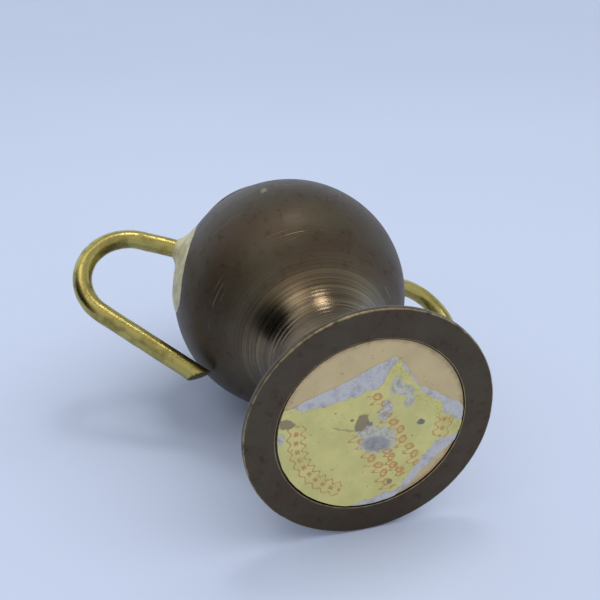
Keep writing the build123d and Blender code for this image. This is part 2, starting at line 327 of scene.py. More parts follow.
# ---- finishes -------------------------------------------------------------------------
def turned_brass(name, colours, worn_rings=(), waist=None, shine=0.57, scratches=0.35,
                 lacquer=0.15, chip=None):
    """Darkened, lacquered brass with turning marks round the Z axis."""
    finish = Finish(name, Coat_Roughness=0.27, Coat_IOR=1.5, Anisotropic=0.45)
    point, (x, y, z) = finish.place()
    radius = finish.root(x * x + y * y)
    lathe = finish.vector(radius, z, 0.0)
    marks = finish.noise(lathe, 2.6, 6.0, 0.72)
    fine_marks = finish.noise(finish.vector(radius, z, 7.0), 9.0, 2.0, 0.6)
    cloud = finish.noise(point, 0.16, 4.0, 0.62)
    mottle = finish.noise(point, 0.75, 5.0, 0.7, 0.4)
    grain = finish.noise(point, 6.0, 3.0, 0.6)
    patina = finish.mix(finish.ramp(cloud, 0.36, 0.66), tuple(colours.patina),
                        tuple(colours.patina_olive))
    stains = finish.ramp(mottle, 0.52, 0.72) * finish.ramp(cloud, 0.40, 0.60, 1.0, 0.35)
    patina = finish.mix(stains * 0.55, patina, tuple(colours.patina_dark))
    patina = finish.mix(finish.ramp(marks, 0.50, 0.75) * 0.45, patina, tuple(colours.patina_olive))
    worn = finish.ramp(grain, 0.70, 0.80) * finish.ramp(mottle, 0.58, 0.7) * 0.25
    for ring_radius, ring_height, reach in worn_rings:
        away, above = radius - ring_radius, z - ring_height
        distance = finish.root(away * away + above * above) + (mottle - 0.5) * reach * 1.6
        worn = finish.greater(worn, finish.ramp(distance, reach * 0.3, reach, 0.5, 0.0))
    polish = 0.0
    if waist:
        low, high = waist
        polish = finish.band(z, low, high, 6.0)
        worn = finish.greater(worn, polish * finish.ramp(marks, 0.44, 0.60, 0.03, 0.22))
    if chip:
        away = finish.node("VectorMath", {"operation": "DISTANCE"}, {0: point, 1: chip},
                           output="Value")
        worn = finish.greater(worn, finish.ramp(away + (mottle - 0.5) * 2.2, 0.35, 0.75, 0.30, 0.0))
    # short scratches that follow the turning marks
    streak = finish.noise(finish.vector(radius * 5.0, z * 5.0, (x + y * 0.7) * 0.16), 1.0, 2.0, 0.5)
    scratch = finish.ramp(streak, 0.71, 0.75)
    worn = finish.greater(worn, scratch * scratches)
    base = finish.mix(worn, patina, tuple(colours.bare_brass))
    rough = shine + (marks - 0.5) * 0.20 + stains * 0.10 - worn * 0.06 - polish * 0.34
    coat = lacquer * (1.0 - worn * 0.6 - stains * 0.5)
    height = marks * 0.5 + fine_marks * 0.35 - scratch * 0.5 + grain * 0.12
    finish.feed(Base_Color=base, Roughness=rough, Coat_Weight=coat,
                Normal=finish.bump(height, 0.028, 0.9))
    finish.shader.inputs["Metallic"].default_value = 1.0
    return finish.material


def drawn_wire(name, colours):
    """Bright drawn brass wire, with die lines along it and tarnish in patches."""
    finish = Finish(name, Metallic=1.0)
    point, _ = finish.place()
    straight = finish.node("Attribute", {"attribute_name": "straight"}, output="Vector")
    lines = finish.noise(finish.stretch(straight, (3.4, 3.4, 0.07)), 1.6, 4.0, 0.65)
    patches = finish.noise(point, 0.42, 4.0, 0.62)
    nicks = finish.noise(finish.stretch(straight, (1.2, 1.2, 2.4)), 1.5, 3.0, 0.7)
    tarnish = finish.ramp(patches, 0.44, 0.70) * 0.55 + finish.ramp(nicks, 0.62, 0.78) * 0.35
    end = finish.node("Attribute", {"attribute_name": "cut"}, output="Fac")
    tarnish = finish.greater(tarnish, end)
    base = finish.mix(tarnish, tuple(colours.wire), tuple(colours.wire_dark))
    height = lines * 0.5 + nicks * 0.5
    finish.feed(Base_Color=base, Roughness=0.24 + tarnish * 0.26 + (lines - 0.5) * 0.16,
                Normal=finish.bump(height, 0.05, 0.75))
    return finish.material


def dull_solder(name, colours):
    """Solder that has flowed over the belly and been rubbed."""
    finish = Finish(name)
    point, _ = finish.place()
    lumps = finish.noise(point, 0.55, 4.0, 0.6)
    pits = finish.noise(point, 3.2, 3.0, 0.6)
    base = finish.mix(finish.ramp(lumps, 0.36, 0.62), tuple(colours.solder),
                      tuple(colours.solder_pale))
    base = finish.mix(finish.ramp(pits, 0.60, 0.78) * 0.5, base, tuple(colours.patina_olive))
    finish.feed(Base_Color=base, Roughness=0.42 + pits * 0.2,
                Metallic=finish.ramp(lumps, 0.3, 0.7, 0.25, 0.5),
                Normal=finish.bump(lumps * 0.7 + pits * 0.3, 0.12, 0.6))
    return finish.material


def aged_card(name, colours):
    """Brownish card with fibres and foxing, darker towards its edge."""
    finish = Finish(name, Specular_IOR_Level=0.25)
    point, (x, y, _) = finish.place()
    cloud = finish.noise(point, 0.22, 4.0, 0.6)
    fibres = finish.noise(finish.stretch(point, (1.0, 3.0, 1.0)), 3.0, 4.0, 0.7)
    specks = finish.noise(point, 1.7, 2.0, 0.5)
    base = finish.mix(finish.ramp(cloud, 0.34, 0.66) * 0.5 + fibres * 0.3, tuple(colours.card),
                      tuple(0.78 * part for part in colours.card))
    base = finish.mix(finish.ramp(specks, 0.66, 0.76) * 0.6, base, tuple(colours.card_stain))
    # the card turns darker towards its edge, beside the recess wall
    edge = finish.ramp(finish.root(x * x + y * y) + (specks - 0.5) * 1.2, 10.5, 11.2)
    base = finish.mix(edge * 0.45, base, tuple(colours.card_stain))
    finish.feed(Base_Color=base, Roughness=0.72 + fibres * 0.15,
                Normal=finish.bump(fibres * 0.6 + cloud * 0.4, 0.04, 0.5))
    return finish.material


def torn_paper(name, colours):
    """Grey-white inside of paper that was torn off, with pale flakes of its coating whose bright
    colour is partly a painted glint.
    """
    finish = Finish(name, Specular_IOR_Level=0.3)
    point, _ = finish.place()
    fibres = finish.noise(point, 2.6, 5.0, 0.75, 0.5)
    dirt = finish.noise(point, 0.7, 5.0, 0.68)
    # pale flakes of coating; their near-white colour is partly a painted glint
    flake_and_glint = finish.ramp(finish.noise(point, 4.2, 3.0, 0.7), 0.66, 0.70)
    base = finish.mix(finish.ramp(dirt, 0.46, 0.72) * 0.6 + finish.ramp(fibres, 0.5, 0.72) * 0.35,
                      tuple(colours.paper), tuple(colours.paper_dark))
    base = finish.mix(flake_and_glint * 0.7, base, (0.85, 0.86, 0.90))
    finish.feed(Base_Color=base, Roughness=0.80 - flake_and_glint * 0.45,
                Normal=finish.bump(fibres * 0.8 + dirt * 0.2, 0.07, 0.8))
    return finish.material


def scroll_row(finish, x, y, across, start, end, pitch, height):
    """A running scroll: a wave with a small ring in every other hollow."""
    turn = radians(44)
    along = x * cos(turn) + y * sin(turn)
    offset = y * cos(turn) - x * sin(turn) - across
    phase = along * (2 * pi / pitch)
    wander = finish.sine(phase * 0.37 + 1.1) * 0.22
    offset = offset - wander
    lean = finish.sine(phase + offset * 1.4) * height
    wave = finish.ramp(abs(offset - lean), 0.12, 0.24, 1.0, 0.0)
    cell = finish.node("Math", {"operation": "PINGPONG"}, {0: along + pitch * 0.75, 1: pitch})
    ring_x, ring_y = cell - pitch * 0.5, offset + height * 0.55
    ring = finish.root(ring_x * ring_x + ring_y * ring_y)
    ring = finish.ramp(abs(ring - 0.40), 0.09, 0.19, 1.0, 0.0)
    return finish.greater(wave, ring) * finish.band(along, start, end, 0.25)


def printed_face(name, colours):
    """Yellow printed paper: a scroll and a beaded border, worn and torn through in places."""
    finish = Finish(name, Specular_IOR_Level=0.45)
    point, (x, y, _) = finish.place()
    cloud = finish.noise(point, 0.3, 4.0, 0.6)
    ragged = finish.noise(point, 1.5, 5.0, 0.72)
    fine = finish.noise(point, 5.5, 4.0, 0.7)
    edge = (ragged - 0.5) * 2.0 + (fine - 0.5) * 0.6
    ground = finish.mix(finish.ramp(cloud, 0.35, 0.65), tuple(colours.print_ground),
                        tuple(0.86 * part for part in colours.print_ground))
    ground = finish.mix(finish.ramp(fine, 0.6, 0.8) * 0.35, ground, (0.74, 0.68, 0.34))
    # printed ornament
    ink = scroll_row(finish, x, y, -2.0, -3.9, 8.4, 1.45, 0.75)
    ink = finish.greater(ink, scroll_row(finish, x, y, 2.2, 0.0, 9.5, 1.45, 0.75))
    ink = finish.greater(ink, scroll_row(finish, x, y, 0.35, 3.6, 8.6, 1.15, 0.5))
    radius = finish.root(x * x + y * y)
    bearing = finish.node("Math", {"operation": "ARCTAN2"}, {0: y, 1: x})
    bead = finish.sine(bearing * 46.0)
    beads = finish.ramp(bead, -0.2, 0.3) * finish.band(radius, 8.75, 9.15, 0.12)
    rule = finish.ramp(abs(radius - 8.15 - 0.28 * bead), 0.07, 0.16, 1.0, 0.0)
    rule = finish.greater(rule, finish.ramp(abs(radius - 9.75 + 0.2 * bead), 0.06, 0.14, 1.0, 0.0))
    border = finish.greater(beads, rule)
    shown = finish.greater(finish.band(bearing, 1.68, 3.02, 0.03),
                           finish.band(bearing, -0.28, 0.02, 0.03))
    ink = finish.greater(ink, border * shown)
    ink = ink * finish.ramp(ragged, 0.30, 0.46) * finish.ramp(fine, 0.34, 0.5, 0.45, 1.0)
    base = finish.mix(ink * 0.85, ground, tuple(colours.ink))
    # worn through to grey paper
    worn = finish.spot(x, y, (1.3, 1.6), (2.3, 1.9), edge)
    for centre, radii in (((2.1, -5.2), (1.5, 0.8)), ((0.9, -5.6), (0.6, 1.2)),
                          ((-0.5, 0.6), (1.4, 1.2)), ((3.3, -3.8), (0.7, 0.8)),
                          ((-10.3, 3.0), (0.5, 0.8)), ((0.9, -2.2), (0.8, 1.5))):
        worn = finish.greater(worn, finish.spot(x, y, centre, radii, edge * 1.2))
    worn = worn * finish.ramp(fine, 0.30, 0.52, 0.35, 1.0)
    grey = finish.mix(finish.ramp(ragged, 0.4, 0.65), tuple(colours.paper),
                      tuple(colours.paper_dark))
    base = finish.mix(worn * 0.85, base, grey)
    rub = finish.spot(x, y, (1.4, 2.2), (1.6, 1.0), edge)
    base = finish.mix(rub * 0.6, base, (0.20, 0.20, 0.24))
    # holes down to the card, where the card is painted in shade, with dark edges
    for centre, radii in (((-1.45, -0.3), (0.62, 0.95)), ((-0.42, -0.3), (0.28, 0.24)),
                          ((-10.2, 1.0), (0.75, 0.55)), ((5.0, 7.1), (0.28, 0.3)),
                          ((-2.75, -0.5), (0.2, 0.16))):
        rim = finish.spot(x, y, centre, tuple(1.25 * part for part in radii), edge * 0.7)
        base = finish.mix(rim * 0.8, base, (0.16, 0.12, 0.07))
        # the card in a hole is painted in shade: the card's colour at less than half its brightness
        hole = finish.spot(x, y, centre, radii, edge * 0.7)
        base = finish.mix(hole, base, tuple(0.45 * part for part in colours.card))
    spot = finish.spot(x, y, (5.85, -1.35), (0.5, 0.42), edge * 0.8)
    base = finish.mix(spot * 0.85, base, (0.10, 0.10, 0.13))
    crack = finish.band(x, -4.6, -2.0, 0.3) * finish.ramp(
        abs(y - 0.85 + edge * 0.5), 0.05, 0.16, 1.0, 0.0)
    specks = finish.ramp(finish.noise(point, 2.3, 1.0, 0.4), 0.735, 0.76)
    base = finish.mix(finish.greater(crack * 0.55, specks * 0.8), base, (0.20, 0.17, 0.09))
    # bright flakes of metal foil along the torn top edge
    top = finish.ramp(y - x * 0.55, -7.2, -5.8, 1.0, 0.0)
    foil = finish.ramp(fine, 0.56, 0.66) * top
    base = finish.mix(foil * 0.8, base, (0.95, 0.78, 0.18))
    finish.feed(Base_Color=base, Roughness=0.50 + worn * 0.3 - foil * 0.28, Metallic=foil * 0.8,
                Normal=finish.bump(fine * 0.35 + ragged * 0.5 - worn * 0.25 + foil * fine * 2.0, 0.09,
                                   0.7))
    return finish.material


def rivet_brass(name, colours):
    """Plain turned brass of the rivet."""
    finish = Finish(name, Metallic=1.0)
    point, (x, y, z) = finish.place()
    marks = finish.noise(finish.vector(finish.root(x * x + y * y), z), 4.0, 4.0, 0.7)
    cloud = finish.noise(point, 0.8, 3.0, 0.6)
    base = finish.mix(finish.ramp(cloud, 0.35, 0.65), tuple(colours.bare_brass),
                      tuple(colours.patina_olive))
    finish.feed(Base_Color=base, Roughness=0.30 + marks * 0.2,
                Normal=finish.bump(marks, 0.03, 0.6))
    return finish.material


def pale_cloth(name, colours):
    """The floor: seen from its front only."""
    finish = Finish(name, Roughness=0.9, Specular_IOR_Level=0.1)
    point, _ = finish.place()
    weave = finish.noise(point, 0.35, 5.0, 0.6)
    slow = finish.noise(point, 0.01, 2.0, 0.5)
    base = finish.mix(slow, tuple(colours.floor), tuple(0.95 * part for part in colours.floor))
    finish.feed(Base_Color=base, Normal=finish.bump(weave, 0.15, 0.35))
    behind = finish.node("NewGeometry", output="Backfacing")
    clear = finish.node("BsdfTransparent")
    shown = finish.node("MixShader", {}, {0: behind, 1: Value(finish, finish.shader.outputs[0]),
                                          2: clear})
    finish.tree.links.new(shown.socket, finish.output.inputs["Surface"])
    return finish.material


def black_card(name):
    """A matt black card."""
    finish = Finish(name, Roughness=1.0, Specular_IOR_Level=0.0)
    point, _ = finish.place()
    soot = finish.noise(point, 0.05)
    finish.feed(Base_Color=finish.mix(soot, (0.004, 0.004, 0.006), (0.008, 0.008, 0.011)))
    return finish.material


# ---- modelling helpers (millimetres until a piece is finished) --------------------------
def arc(centre, radius, start, end, steps):
    """Profile points (radius, height) along an arc; angles in radians from the horizontal."""
    return [(centre[0] + radius * cos(start + (end - start) * step / steps),
             centre[1] + radius * sin(start + (end - start) * step / steps))
            for step in range(steps + 1)]


def arc_through(first, middle, last, steps):
    """Profile points along the arc through three points."""
    (ax, ay), (bx, by), (cx, cy) = first, middle, last
    twice = 2 * (ax * (by - cy) + bx * (cy - ay) + cx * (ay - by))
    a, b, c = ax * ax + ay * ay, bx * bx + by * by, cx * cx + cy * cy
    centre = ((a * (by - cy) + b * (cy - ay) + c * (ay - by)) / twice,
              (a * (cx - bx) + b * (ax - cx) + c * (bx - ax)) / twice)
    start, through, end = (atan2(py - centre[1], px - centre[0])
                           for px, py in (first, middle, last))
    turn = 2 * pi
    span, part = (end - start) % turn, (through - start) % turn
    if part > span:
        span -= turn
    return arc(centre, hypot(ax - centre[0], ay - centre[1]), start, start + span, steps)


def turn_profile(profile, segments, closed):
    """Spin a profile of (radius, height) points round the Z axis."""
    bm = bmesh.new()
    points = [bm.verts.new((radius, 0, height)) for radius, height in profile]
    ends = points[1:] + points[:1] if closed else points[1:]
    edges = [bm.edges.new(pair) for pair in zip(points, ends)]
    bmesh.ops.spin(bm, geom=points + edges, cent=(0, 0, 0), axis=(0, 0, 1), angle=2 * pi,
                   steps=segments, use_merge=True, use_duplicate=False)
    bmesh.ops.remove_doubles(bm, verts=bm.verts[:], dist=1e-4)
    bmesh.ops.recalc_face_normals(bm, faces=bm.faces[:])
    return bm


def round_ring(bm, radius, height, amount, segments=3):
    """Round the edge of a turned piece at one radius and height."""
    def on_ring(vert):
        return abs(hypot(vert.co.x, vert.co.y) - radius) < 1e-3 and abs(vert.co.z - height) < 1e-3

    ring = [edge for edge in bm.edges if on_ring(edge.verts[0]) and on_ring(edge.verts[1])]
    bmesh.ops.bevel(bm, geom=ring, offset=amount, offset_type="OFFSET", affect="EDGES",
                    segments=segments, profile=0.5, material=-1, clamp_overlap=True)


def finish_piece(context, name, bm, material, body, slot, *nodes):
    """Make the object in metres, smooth its faces, and say what it rides on and replaces."""
    bmesh.ops.scale(bm, vec=(MM, MM, MM), verts=bm.verts[:])
    for face in bm.faces:
        face.smooth = True
    for edge in bm.edges:
        edge.smooth = len(edge.link_faces) == 2 and edge.calc_face_angle(0.0) < SHARP
    mesh = bpy.data.meshes.new(name)
    bm.to_mesh(mesh)
    bm.free()
    mesh.materials.append(material)
    piece = bpy.data.objects.new(name, mesh)
    context.scene.collection.objects.link(piece)
    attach(piece, body)
    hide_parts(*nodes)
    return piece


def flare_radius(body, height):
    """Outside radius of the flare between the foot and the waist."""
    run = body.foot_radius - body.ledge_width - body.waist_radius
    drop = body.waist_height - body.ledge_height
    flare = (run * run + drop * drop) / (2 * run)
    return body.waist_radius + flare - sqrt(flare * flare - (body.waist_height - height) ** 2)


def ball_height(body, radius, inset=0.0):
    """Height of the belly's upper half at a radius."""
    return body.belly_height + sqrt((body.belly_radius - inset) ** 2 - radius ** 2)


def turning_marks(body, radius, height, along):
    """How far the surface dips where the tool has left its marks."""
    low = max(0.0, 1 - abs(height - body.waist_height - 3.0) / 11.0)
    wobble = noise.noise(Vector((along * 0.35, 3.1, 0.0)))
    ridge = sin(2 * pi * along / body.groove_pitch + 2.2 * wobble)
    rough = noise.noise(Vector((along * 1.9, 7.7, 0.0)))
    depth = body.groove_depth * (0.25 + 0.75 * low ** 0.7)
    return radius - depth * (0.5 + 0.5 * ridge) * (0.6 + 0.8 * abs(wobble)) - 0.4 * depth * rough


# ---- operators: one for each piece or pair of pieces ------------------------------------
class UrnTurnBowl(bpy.types.Operator):
    """Turn the bowl: flare, waist, round belly and hollow inside"""
    bl_idname = "brass_urn.turn_bowl"
    bl_label = "Turn bowl"

    def execute(self, context):
        scene = context.scene
        body = scene.urn_body
        drop = body.belly_height - body.waist_height
        run = body.belly_radius - body.waist_radius
        neck = (body.waist_radius ** 2 + drop ** 2 - body.belly_radius ** 2) / (2 * run)
        meet = atan2(drop, body.waist_radius + neck)
        span = body.waist_height - body.seam_height
        steps = 64
        outside = [(flare_radius(body, body.seam_height + span * step / steps),
                    body.seam_height + span * step / steps) for step in range(steps)]
        outside += arc((body.waist_radius + neck, body.waist_height), neck, pi, pi - meet, 90)
        edge = atan2(ball_height(body, body.neck_radius) - body.belly_height, body.neck_radius)
        outside += arc((0, body.belly_height), body.belly_radius, -meet, edge, 150)[1:]
        marked, along = [], 0.0
        for here, before in zip(outside, outside[:1] + outside):
            along += hypot(here[0] - before[0], here[1] - before[1])
            ends = here in (outside[0], outside[-1])
            marked.append(here if ends else (turning_marks(body, *here, along), here[1]))
        inner = body.belly_radius - body.wall
        top = ball_height(body, body.neck_radius, body.wall)
        inside = arc((0, body.belly_height), inner,
                     atan2(top - body.belly_height, body.neck_radius), -pi / 2, 60)
        hole = [(0, body.rivet_top), (body.rivet_radius, body.rivet_top),
                (body.rivet_radius, body.seam_height)]
        bm = turn_profile(hole + marked + inside, body.segments, closed=False)
        for vert in bm.verts:  # the belly was finished by hand, so it isn't perfectly round
            radial = Vector((vert.co.x, vert.co.y, 0))
            if radial.length > body.neck_radius + 0.5 and vert.co.z > body.waist_height:
                vert.co += radial.normalized() * 0.03 * noise.noise(vert.co * 0.11)
        material = turned_brass("bowl_patinated_brass", scene.urn_colours, waist=(8.0, 17.5),
                                chip=(-8.3, -14.2, 34.3))
        finish_piece(context, "turned_bowl", bm, material, "urn", "patinated_brass", "bowl")
        return {"FINISHED"}


class UrnTurnFoot(bpy.types.Operator):
    """Turn the thin round foot, with its worn edge and the recess under it"""
    bl_idname = "brass_urn.turn_foot"
    bl_label = "Turn foot"

    def execute(self, context):
        scene = context.scene
        body = scene.urn_body
        recess = body.foot_radius - body.ring_width
        taper = body.rivet_head - body.rivet_radius
        span = body.seam_height - body.ledge_height
        flare = [(flare_radius(body, body.ledge_height + span * step / 6),
                  body.ledge_height + span * step / 6) for step in range(7)]
        ledge_steps, ring_steps = 8, 10
        ledge_run = body.foot_radius - flare[0][0]
        ledge_rise = body.ledge_height - body.rim_thickness
        ledge = [(body.foot_radius - ledge_run * step / ledge_steps,
                  body.rim_thickness + ledge_rise * step / ledge_steps)
                 for step in range(ledge_steps)]
        ring = [(recess + body.ring_width * step / ring_steps, 0.0) for step in range(ring_steps + 1)]
        profile = [(body.rivet_radius, body.seam_height),
                   (body.rivet_radius, body.recess_depth + taper / 1.2),
                   (body.rivet_head, body.recess_depth), (recess, body.recess_depth)]
        bm = turn_profile(profile + ring + ledge + flare, body.segments, closed=True)
        round_ring(bm, body.foot_radius, 0.0, body.rim_round, 4)
        round_ring(bm, body.foot_radius, body.rim_thickness, body.rim_round, 4)
        round_ring(bm, recess, 0.0, 0.06, 2)
        for vert in bm.verts:  # small knocks and waves in the thin edge
            reach = hypot(vert.co.x, vert.co.y)
            rim = max(0.0, (reach - recess - 1.0) / (body.ring_width - 1.0))
            wave = noise.noise(Vector((vert.co.x * 0.12, vert.co.y * 0.12, 4.0)))
            knock = min(0.0, noise.noise(Vector((vert.co.x * 0.55, vert.co.y * 0.55, 9.0))) + 0.35)
            shrink = 1 + rim ** 3 * (0.10 * knock - 0.02) / body.foot_radius
            vert.co = (vert.co.x * shrink, vert.co.y * shrink, vert.co.z + rim ** 2 * 0.03 * wave)
        worn = ((body.foot_radius, 0.0, 0.24), (body.foot_radius, body.rim_thickness, 0.24),
                (recess, 0.0, 0.10))
        material = turned_brass("foot_patinated_brass", scene.urn_colours, worn, shine=0.42,
                                scratches=0.1, lacquer=0.12)
        finish_piece(context, "turned_foot", bm, material, "urn", "patinated_brass", "foot")
        return {"FINISHED"}


class UrnTurnCollar(bpy.types.Operator):
    """Turn the mouth collar that the lid rests over"""
    bl_idname = "brass_urn.turn_collar"
    bl_label = "Turn collar"

    def execute(self, context):
        scene = context.scene
        body, collar = scene.urn_body, scene.urn_collar
        neck = body.neck_radius
        edge = ball_height(body, neck)
        mouth, bore = edge + collar.height, neck - collar.wall
        foot = neck + collar.foot_overlap
        lip = neck + collar.lip_overlap
        seat_steps = 6
        seat = [(neck + (foot - neck) * step / seat_steps,
                 ball_height(body, neck + (foot - neck) * step / seat_steps))
                for step in range(seat_steps + 1)]
        cove = arc_through(seat[-1], (neck + collar.throat_overlap, edge + collar.height / 3),
                           (lip, mouth - collar.lip_height), 12)
        profile = [(bore, edge - collar.spigot), (neck, edge - collar.spigot)]
        profile += seat + cove[1:] + [(lip, mouth), (bore, mouth)]
        bm = turn_profile(profile, body.segments, closed=True)
        round_ring(bm, lip, mouth, collar.lip_round)
        round_ring(bm, lip, mouth - collar.lip_height, collar.lip_round)
        round_ring(bm, bore, mouth, collar.lip_round)
        material = turned_brass("collar_patinated_brass", scene.urn_colours,
                                ((lip, mouth, 0.4), (bore, mouth, 0.3)))
        finish_piece(context, "turned_collar", bm, material, "urn", "patinated_brass",
                     "mouth_collar")
        return {"FINISHED"}


def loop_frame(scene, side, swing):
    """Matrix of a handle's own frame: origin on the belly, x out, y towards the free end."""
    body, handle = scene.urn_body, scene.urn_handle
    level = cos(handle.latitude)
    outward = Vector((side * level * cos(handle.set_back), -level * sin(handle.set_back),
                      sin(handle.latitude)))
    downward = (outward * outward.z - Vector((0, 0, 1))).normalized()
    forward = outward.cross(downward) * side
    towards_end = downward * cos(swing) + forward * sin(swing)
    origin = Vector((0, 0, body.belly_height)) + outward * body.belly_radius
    frame_axes = Matrix((outward, towards_end, outward.cross(towards_end))).transposed()
    return Matrix.Translation(origin) @ frame_axes.to_4x4()


class UrnBendHandles(bpy.types.Operator):
    """Bend the two handles from brass wire and snip their free ends"""
    bl_idname = "brass_urn.bend_handles"
    bl_label = "Bend handles"

    def execute(self, context):
        scene = context.scene
        for name, side, swing in (("left", -1, scene.urn_handle.swing_left),
                                  ("right", 1, scene.urn_handle.swing_right)):
            self.bend(context, name, loop_frame(scene, side, swing))
        return {"FINISHED"}

    def bend(self, context, name, place):
        scene = context.scene
        body, handle = scene.urn_body, scene.urn_handle
        thick, bend_radius = handle.wire_radius, handle.bend_radius
        out = Vector((cos(handle.lift), sin(handle.lift), 0))
        beside = Vector((-out.y, out.x, 0))
        start = out * handle.reach
        centre = start + beside * bend_radius
        stand_off = body.belly_radius + thick + handle.end_gap
        free_end = Vector((stand_off * cos(handle.end_angle) - body.belly_radius,
                           stand_off * sin(handle.end_angle), 0))
        to_end = free_end - centre
        run_length = sqrt(to_end.length ** 2 - bend_radius ** 2)
        heading = atan2(to_end.y, to_end.x) + atan2(bend_radius, run_length)
        run = Vector((cos(heading), sin(heading), 0))
        root = out * -0.7 * body.wall

        bm = bmesh.new()
        ring = bmesh.ops.create_circle(bm, cap_ends=False, radius=thick, segments=handle.segments)
        across = Matrix((beside, Vector((0, 0, 1)), out)).transposed().to_4x4()
        bmesh.ops.transform(bm, matrix=Matrix.Translation(root) @ across, verts=ring["verts"])
        edges = bm.edges[:]
        edges = self.pull(bm, edges, start - root, 14)
        turn = heading - handle.lift
        made = bmesh.ops.spin(bm, geom=edges, cent=centre, axis=(0, 0, 1), angle=turn, steps=44,
                              use_merge=False, use_duplicate=False)
        edges = [item for item in made["geom_last"] if isinstance(item, bmesh.types.BMEdge)]
        self.pull(bm, edges, run * (run_length + 2 * thick), 46)
        cut = run + Vector((-run.y, run.x, 0)) * handle.cut_side + Vector((0, 0, handle.cut_face))
        bmesh.ops.bisect_plane(bm, geom=bm.verts[:] + bm.edges[:] + bm.faces[:], dist=1e-5,
                               plane_co=free_end, plane_no=cut, clear_outer=True)
        bmesh.ops.remove_doubles(bm, verts=bm.verts[:], dist=0.02)
        open_edges = [edge for edge in bm.edges if edge.is_boundary]
        bmesh.ops.edgeloop_fill(bm, edges=open_edges)
        bmesh.ops.recalc_face_normals(bm, faces=bm.faces[:])
        cut.normalize()
        faces = [face for face in bm.faces if len(face.verts) > 4 and face.normal.dot(cut) > 0.9]
        bmesh.ops.bevel(bm, geom=[edge for face in faces for edge in face.edges], offset=0.09,
                        offset_type="OFFSET", affect="EDGES", segments=2, profile=0.5,
                        material=-1, clamp_overlap=True)
        self.straighten(bm, root, out, beside, start, centre, run, free_end, cut, handle)
        bmesh.ops.transform(bm, matrix=place, verts=bm.verts[:])
        for vert in bm.verts:  # the wire's surface wanders a little, as bent wire's does
            wander = noise.noise_vector(vert.co * 0.55) + 0.4 * noise.noise_vector(vert.co * 1.7)
            vert.co += wander * handle.unevenness
        material = drawn_wire(f"{name}_handle_brass_wire", scene.urn_colours)
        finish_piece(context, f"wire_handle_{name}", bm, material, "urn", "bright_brass_wire",
                     f"handle_{name}")

    @staticmethod
    def pull(bm, edges, move, steps):
        """Extrude a ring of edges in a straight line, in equal steps."""
        for _ in range(steps):
            made = bmesh.ops.extrude_edge_only(bm, edges=edges)["geom"]
            bmesh.ops.translate(bm, vec=move / steps,
                                verts=[item for item in made if isinstance(item, bmesh.types.BMVert)])
            edges = [item for item in made if isinstance(item, bmesh.types.BMEdge)
                     and all(vert in made for vert in item.verts)]
        return edges

    @staticmethod
    def straighten(bm, root, out, beside, start, centre, run, free_end, cut, handle):
        """Keep each point's place on the wire before it was bent, and mark the snipped end."""
        straight = bm.verts.layers.float_vector.new("straight")
        mark = bm.verts.layers.float.new("cut")
        bent = atan2(run.y, run.x) - handle.lift
        arc_start = (start - root).length
        arc_length = bent * handle.bend_radius
        bend_end = centre + Vector((run.y, -run.x, 0)) * handle.bend_radius
        for vert in bm.verts:
            point = vert.co
            spoke = point - centre
            turned = (atan2(spoke.y, spoke.x) - (handle.lift - pi / 2)) % (2 * pi)
            if (point - start).dot(out) <= 0 and (point - start).dot(beside) < handle.bend_radius:
                along, side = (point - root).dot(out), (point - root).dot(beside)
            elif turned <= bent:
                along = arc_start + turned * handle.bend_radius
                side = handle.bend_radius - Vector((spoke.x, spoke.y)).length
            else:
                along = arc_start + arc_length + (point - bend_end).dot(run)
                side = (point - bend_end).dot(Vector((-run.y, run.x, 0)))
            vert[straight] = (side, point.z, along)
            vert[mark] = 1.0 if abs((point - free_end).dot(cut)) < 0.03 else 0.0


